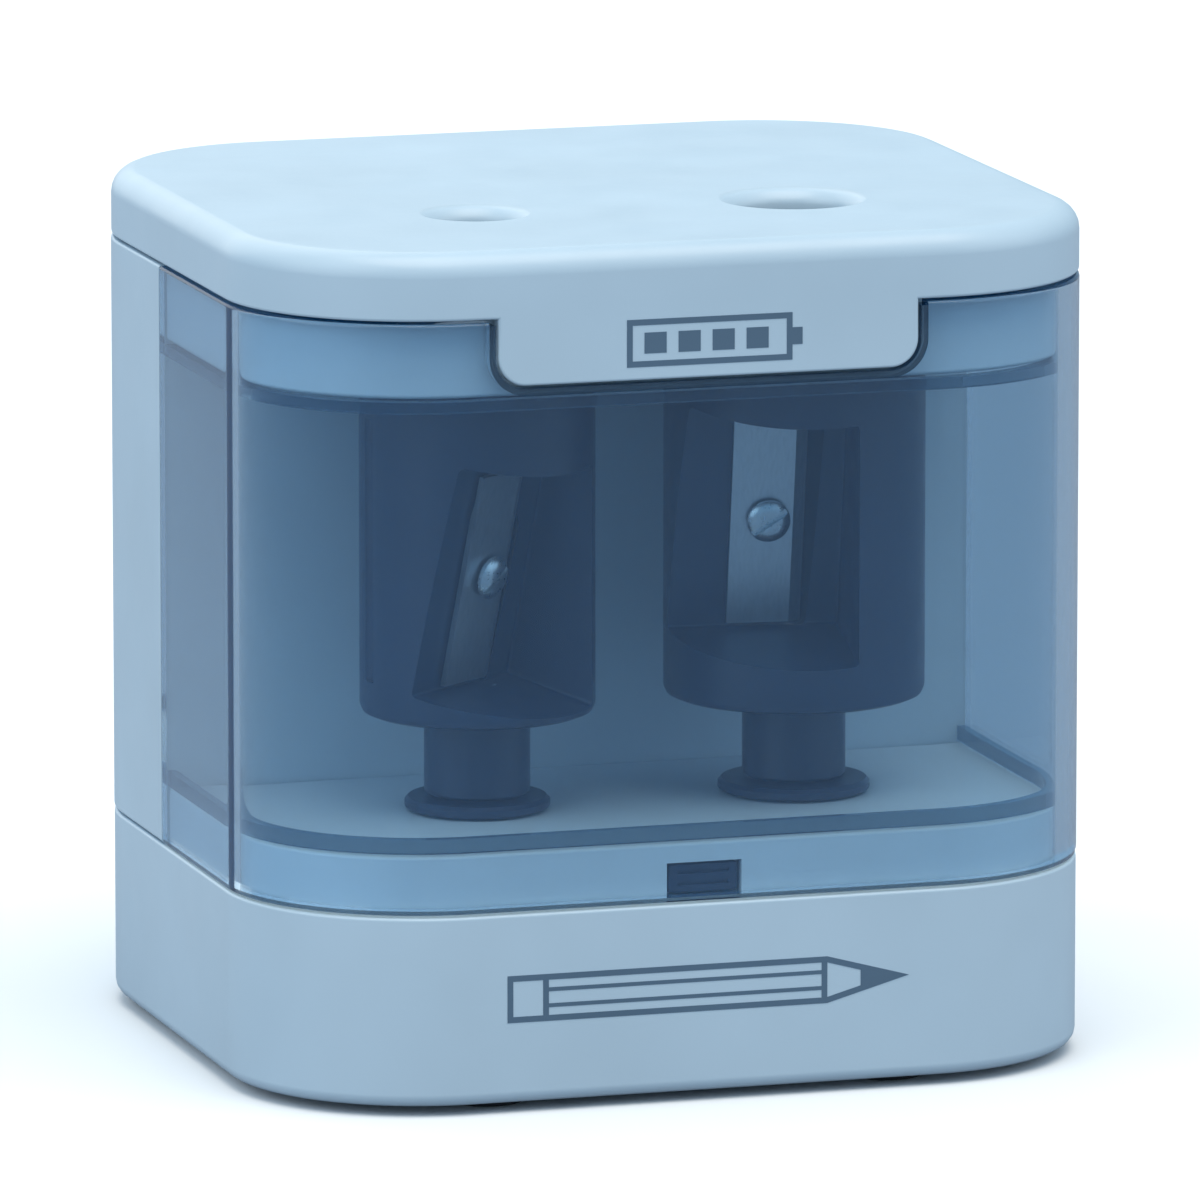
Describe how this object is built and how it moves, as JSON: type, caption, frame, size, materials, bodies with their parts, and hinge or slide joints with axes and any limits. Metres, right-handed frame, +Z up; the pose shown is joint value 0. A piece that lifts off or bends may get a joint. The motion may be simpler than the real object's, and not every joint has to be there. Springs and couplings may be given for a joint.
{
  "type": "pencil sharpener",
  "caption": "Battery pencil sharpener, a rounded upright box with a clear shavings shell in front, a lift-off hood with pencil holes of different sizes, geared rotary cutters, motor and cells",
  "frame": {"origin": "on the table under the middle of the sharpener, level with the undersides of the feet", "axes": "+Z up, -Y towards the front, which has the clear shell, +X to the right as seen from the front"},
  "size_m": [0.093, 0.084, 0.091],
  "materials": {
    "white_plastic": "semi-gloss moulded ABS, pale ice blue-white",
    "clear_shell": "polished see-through polystyrene, blue smoke tint",
    "dark_plastic": "satin moulded ABS, dark navy",
    "plated_steel": "zinc-plated steel",
    "blade_steel": "ground blade steel",
    "shaft_steel": "turned steel",
    "motor_steel": "drawn and plated steel can",
    "nylon_gear": "moulded acetal, natural white",
    "brass_pinion": "machined brass",
    "rubber": "matt rubber",
    "cell_sleeve": "printed shrink sleeve, plain",
    "red_wire": "PVC insulation",
    "black_wire": "PVC insulation"
  },
  "bodies": {
    "base": {"base_housing": "white_plastic", "base_plate": "white_plastic", "base_screw_1": "plated_steel", "base_screw_2": "plated_steel", "base_screw_3": "plated_steel", "base_screw_4": "plated_steel", "battery_cell_1": "cell_sleeve", "battery_cell_2": "cell_sleeve", "battery_cell_3": "cell_sleeve", "battery_cell_4": "cell_sleeve", "battery_wire_minus": "black_wire", "battery_wire_plus": "red_wire", "compound_gear_axle": "shaft_steel", "contact_lower_link": "plated_steel", "contact_minus": "plated_steel", "contact_plus": "plated_steel", "contact_spring_1": "plated_steel", "contact_spring_2": "plated_steel", "contact_spring_3": "plated_steel", "contact_spring_4": "plated_steel", "contact_upper_link_1": "plated_steel", "contact_upper_link_2": "plated_steel", "foot_1": "rubber", "foot_2": "rubber", "foot_3": "rubber", "foot_4": "rubber", "left_deck_bush": "dark_plastic", "left_start_switch": "dark_plastic", "motor_can": "motor_steel", "motor_end_cap": "dark_plastic", "motor_wire": "red_wire", "rear_housing": "white_plastic", "right_deck_bush": "dark_plastic", "right_start_switch": "dark_plastic"},
    "hood": {"shavings_shell": "clear_shell", "guide_plate": "white_plastic", "top_cover": "white_plastic", "cover_screw_1": "plated_steel", "cover_screw_2": "plated_steel"},
    "battery_door": {"battery_door": "white_plastic"},
    "left_cutter": {"left_drive_gear": "nylon_gear", "left_shaft": "shaft_steel", "left_cutter_holder": "dark_plastic", "left_blade": "blade_steel", "left_blade_screw": "plated_steel"},
    "right_cutter": {"right_drive_gear": "nylon_gear", "right_shaft": "shaft_steel", "right_cutter_holder": "dark_plastic", "right_blade": "blade_steel", "right_blade_screw": "plated_steel"},
    "compound_gear": {"compound_gear": "nylon_gear"},
    "motor_rotor": {"motor_shaft": "shaft_steel", "motor_pinion": "brass_pinion"},
    "shell_latch": {"shell_latch": "dark_plastic"},
    "left_start_slider": {"left_start_slider": "dark_plastic"},
    "right_start_slider": {"right_start_slider": "dark_plastic"}
  },
  "joints": [
    {"name": "hood_lift", "type": "slide", "parent": "base", "child": "hood", "axis": [0, 0, 1], "range_m": [0, 0.065]},
    {"name": "battery_door_pull", "type": "slide", "parent": "base", "child": "battery_door", "axis": [0, 1, 0], "range_m": [0, 0.03]},
    {"name": "right_cutter_spin", "type": "hinge", "parent": "base", "child": "right_cutter", "pos_m": [0.0175, -0.0155, 0.02], "axis": [0, 0, 1], "continuous": true},
    {"name": "left_cutter_spin", "type": "hinge", "parent": "base", "child": "left_cutter", "pos_m": [-0.0175, -0.0155, 0.02], "axis": [0, 0, 1], "continuous": true},
    {"name": "compound_gear_spin", "type": "hinge", "parent": "base", "child": "compound_gear", "pos_m": [0, -0.00152, 0.02], "axis": [0, 0, 1], "continuous": true},
    {"name": "motor_spin", "type": "hinge", "parent": "base", "child": "motor_rotor", "pos_m": [0, 0.01468, 0.02], "axis": [0, 0, 1], "continuous": true},
    {"name": "shell_latch_press", "type": "slide", "parent": "base", "child": "shell_latch", "axis": [0, 1, 0], "range_m": [0, 0.0015], "stiffness_N_per_m": 300, "springref_m": -0.001},
    {"name": "left_start_press", "type": "slide", "parent": "hood", "child": "left_start_slider", "axis": [0, 1, 0], "range_m": [0, 0.0015], "stiffness_N_per_m": 200, "springref_m": -0.001},
    {"name": "right_start_press", "type": "slide", "parent": "hood", "child": "right_start_slider", "axis": [0, 1, 0], "range_m": [0, 0.0015], "stiffness_N_per_m": 200, "springref_m": -0.001}
  ],
  "couplings": [
    {"joint": "left_cutter_spin", "follows": "right_cutter_spin", "ratio": 1},
    {"joint": "compound_gear_spin", "follows": "right_cutter_spin", "ratio": -2.1111},
    {"joint": "motor_spin", "follows": "right_cutter_spin", "ratio": 9.2889}
  ]
}
